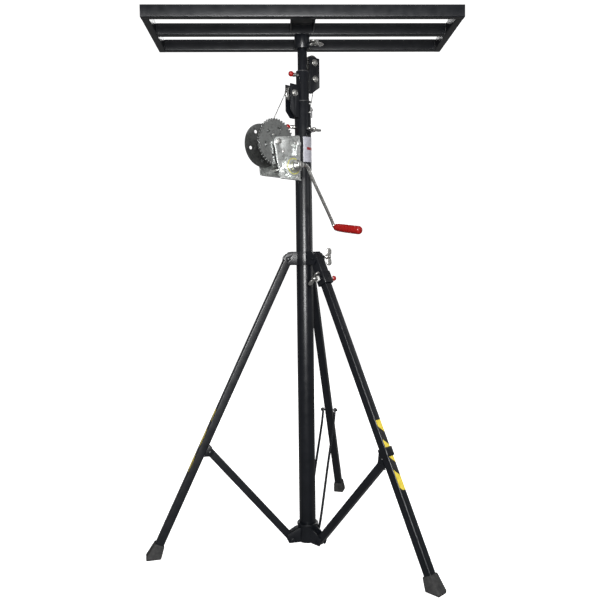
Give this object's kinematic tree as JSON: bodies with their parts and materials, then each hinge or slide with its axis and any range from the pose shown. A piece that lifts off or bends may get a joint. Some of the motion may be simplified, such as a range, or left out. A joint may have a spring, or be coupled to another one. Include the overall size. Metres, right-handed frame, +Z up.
{
  "type": "crank lighting stand",
  "caption": "Folding tripod stand with a three-section mast raised by a hand winch, and a rectangular tube platform for lighting or sound equipment.",
  "frame": {"origin": "mast axis at floor level, at the centre of the mast's foot plug", "axes": "+Z up the mast, +X along the platform's long side, -Y the side that the platform's full-width rail is on"},
  "size_m": [1.1088, 1.0009, 1.871],
  "materials": {
    "powder_black": "semi-gloss black powder coat",
    "zinc": "dull zinc plating",
    "bright_steel": "bright zinc plating",
    "black_plastic": "moulded nylon",
    "red_plastic": "glossy moulded plastic",
    "rubber": "moulded rubber",
    "wire": "galvanised wire rope",
    "label_film": "silver label film",
    "hazard_tape": "yellow and black striped tape"
  },
  "bodies": {
    "mast": {"outer_mast": "powder_black", "mast_foot_plug": "rubber", "outer_mast_bush": "black_plastic", "bottom_hub": "powder_black", "lower_pulley_bracket": "powder_black", "lower_pulley_bolt": "bright_steel", "winch_mount": "powder_black", "winch_frame": "zinc", "drum_axle": "bright_steel", "mast_pin_barrel": "bright_steel", "winch_cable": "wire", "winch_cable_drop": "wire", "lift_cable": "wire"},
    "drum": {"winch_drum": "zinc", "drum_gear": "zinc"},
    "crank": {"crank_pinion": "bright_steel", "brake_disc": "zinc", "crank_arm": "bright_steel"},
    "grip": {"crank_grip": "red_plastic"},
    "pawl": {"pawl": "zinc"},
    "lower_pulley": {"lower_pulley": "bright_steel"},
    "upper_pulley": {"upper_pulley": "bright_steel"},
    "middle_mast": {"middle_mast": "powder_black", "middle_mast_bush": "black_plastic", "middle_mast_guide": "black_plastic", "upper_pulley_bracket": "powder_black", "upper_pulley_bolt": "bright_steel", "middle_pin_barrel": "bright_steel", "lift_cable_bend": "wire", "lift_cable_drop": "wire"},
    "inner_mast": {"inner_mast": "powder_black", "inner_mast_guide": "black_plastic"},
    "platform": {"front_rail": "powder_black", "middle_rail": "powder_black", "rear_rail": "powder_black", "left_side_rail": "powder_black", "right_side_rail": "powder_black", "head_channel": "powder_black", "platform_socket": "powder_black"},
    "platform_knob": {"platform_knob": "bright_steel"},
    "mast_knob": {"mast_knob": "bright_steel"},
    "collar_knob": {"collar_knob": "bright_steel"},
    "leg_knob": {"leg_knob": "bright_steel"},
    "middle_pin": {"middle_pin": "red_plastic"},
    "mast_pin": {"mast_pin": "red_plastic"},
    "leg_pin": {"leg_pin": "red_plastic"},
    "collar": {"leg_collar": "powder_black"},
    "left_leg": {"left_leg": "powder_black", "left_foot": "rubber"},
    "right_upper_leg": {"right_leg_sleeve": "powder_black", "leg_pin_barrel": "bright_steel", "right_leg_slider": "powder_black"},
    "right_leg": {"right_leg": "powder_black", "right_foot": "rubber"},
    "rear_leg": {"rear_leg": "powder_black", "rear_foot": "rubber"},
    "left_brace": {"left_brace": "powder_black"},
    "right_brace": {"right_brace": "powder_black"},
    "rear_brace": {"rear_brace_rod_left": "powder_black", "rear_brace_rod_right": "powder_black"}
  },
  "joints": [
    {"name": "crank_spin", "type": "hinge", "parent": "mast", "child": "crank", "pos_m": [-0.0766, -0.06428, 1.3505], "axis": [-0.6428, 0.766, 0], "range_deg": [0, 11250]},
    {"name": "drum_spin", "type": "hinge", "parent": "mast", "child": "drum", "pos_m": [-0.12257, -0.10285, 1.428], "axis": [0.6428, -0.766, 0], "range_deg": [0, 3068.2]},
    {"name": "lower_pulley_spin", "type": "hinge", "parent": "mast", "child": "lower_pulley", "pos_m": [-0.03907, -0.03278, 1.617], "axis": [0.6428, -0.766, 0], "range_deg": [0, 2635.04]},
    {"name": "middle_lift", "type": "slide", "parent": "mast", "child": "middle_mast", "axis": [0, 0, 1], "range_m": [0, 1.1729], "deforming": ["winch_cable_drop", "lift_cable"]},
    {"name": "inner_lift", "type": "slide", "parent": "middle_mast", "child": "inner_mast", "axis": [0, 0, 1], "range_m": [0, 1.1729], "deforming": ["lift_cable_drop"]},
    {"name": "upper_pulley_spin", "type": "hinge", "parent": "middle_mast", "child": "upper_pulley", "pos_m": [0.03485, 0.02925, 1.741], "axis": [-0.6428, 0.766, 0], "range_deg": [0, 2535.61]},
    {"name": "grip_spin", "type": "hinge", "parent": "crank", "child": "grip", "pos_m": [0.14283, -0.07376, 1.13892], "axis": [0.6354, -0.7572, -0.1513], "continuous": true},
    {"name": "pawl_swing", "type": "hinge", "parent": "mast", "child": "pawl", "pos_m": [-0.02133, -0.0897, 1.43], "axis": [0.6428, -0.766, 0], "range_deg": [0, 14], "stiffness_Nm_per_rad": 0.05},
    {"name": "platform_swivel", "type": "hinge", "parent": "inner_mast", "child": "platform", "pos_m": [0, 0, 1.8], "axis": [0, 0, 1], "continuous": true},
    {"name": "platform_knob_turn", "type": "hinge", "parent": "platform", "child": "platform_knob", "pos_m": [0.0383, -0.03214, 1.791], "axis": [0.766, -0.6428, 0], "range_deg": [0, 450]},
    {"name": "mast_knob_turn", "type": "hinge", "parent": "mast", "child": "mast_knob", "pos_m": [0.03214, -0.0383, 1.489], "axis": [0.6428, -0.766, 0], "range_deg": [0, 450]},
    {"name": "collar_knob_turn", "type": "hinge", "parent": "collar", "child": "collar_knob", "pos_m": [0.0488, 0.01091, 1.043], "axis": [0.9759, 0.2181, 0], "range_deg": [0, 450]},
    {"name": "middle_pin_pull", "type": "slide", "parent": "middle_mast", "child": "middle_pin", "axis": [-0.766, -0.6428, 0], "range_m": [0, 0.008], "stiffness_N_per_m": 400},
    {"name": "mast_pin_pull", "type": "slide", "parent": "mast", "child": "mast_pin", "axis": [-0.9848, -0.1736, 0], "range_m": [0, 0.008], "stiffness_N_per_m": 400},
    {"name": "collar_slide", "type": "slide", "parent": "mast", "child": "collar", "axis": [0, 0, 1], "range_m": [0, 0.16843]},
    {"name": "left_leg_fold", "type": "hinge", "parent": "collar", "child": "left_leg", "pos_m": [-0.06051, -0.01353, 1.035], "axis": [0.2181, -0.9759, 0], "range_deg": [0, 23.55]},
    {"name": "right_leg_fold", "type": "hinge", "parent": "collar", "child": "right_upper_leg", "pos_m": [0.04197, -0.04564, 1.035], "axis": [0.7361, 0.6769, 0], "range_deg": [0, 23.55]},
    {"name": "rear_leg_fold", "type": "hinge", "parent": "collar", "child": "rear_leg", "pos_m": [0.01854, 0.05916, 1.035], "axis": [-0.9542, 0.299, 0], "range_deg": [0, 23.55]},
    {"name": "leg_level", "type": "slide", "parent": "right_upper_leg", "child": "right_leg", "axis": [0.2919, -0.3175, -0.9022], "range_m": [0, 0.03]},
    {"name": "left_brace_fold", "type": "hinge", "parent": "left_leg", "child": "left_brace", "pos_m": [-0.3454, -0.07721, 0.35989], "axis": [0.2181, -0.9759, 0], "range_deg": [-63.92, 0]},
    {"name": "right_brace_fold", "type": "hinge", "parent": "right_upper_leg", "child": "right_brace", "pos_m": [0.23956, -0.26052, 0.35989], "axis": [0.7361, 0.6769, 0], "range_deg": [-63.92, 0]},
    {"name": "rear_brace_fold", "type": "hinge", "parent": "rear_leg", "child": "rear_brace", "pos_m": [0.10801, 0.34466, 0.40914], "axis": [-0.9542, 0.299, 0], "range_deg": [-57.84, 0]},
    {"name": "leg_knob_turn", "type": "hinge", "parent": "right_upper_leg", "child": "leg_knob", "pos_m": [0.03529, -0.09748, 0.96463], "axis": [-0.7361, -0.6769, 0], "range_deg": [0, 450]},
    {"name": "leg_pin_pull", "type": "slide", "parent": "right_upper_leg", "child": "leg_pin", "axis": [0.7361, 0.6769, 0], "range_m": [0, 0.008], "stiffness_N_per_m": 400}
  ],
  "couplings": [
    {"joint": "drum_spin", "follows": "crank_spin", "ratio": 0.27273},
    {"joint": "lower_pulley_spin", "follows": "crank_spin", "ratio": 0.23422},
    {"joint": "middle_lift", "follows": "crank_spin", "m_per_rad": 0.0059727},
    {"joint": "inner_lift", "follows": "crank_spin", "m_per_rad": 0.0059727},
    {"joint": "upper_pulley_spin", "follows": "crank_spin", "ratio": 0.22539},
    {"joint": "left_leg_fold", "follows": "collar_slide", "rad_per_m": 2.4403},
    {"joint": "right_leg_fold", "follows": "collar_slide", "rad_per_m": 2.4403},
    {"joint": "rear_leg_fold", "follows": "collar_slide", "rad_per_m": 2.4403},
    {"joint": "left_brace_fold", "follows": "collar_slide", "rad_per_m": -6.624},
    {"joint": "right_brace_fold", "follows": "collar_slide", "rad_per_m": -6.624},
    {"joint": "rear_brace_fold", "follows": "collar_slide", "rad_per_m": -5.9938}
  ]
}
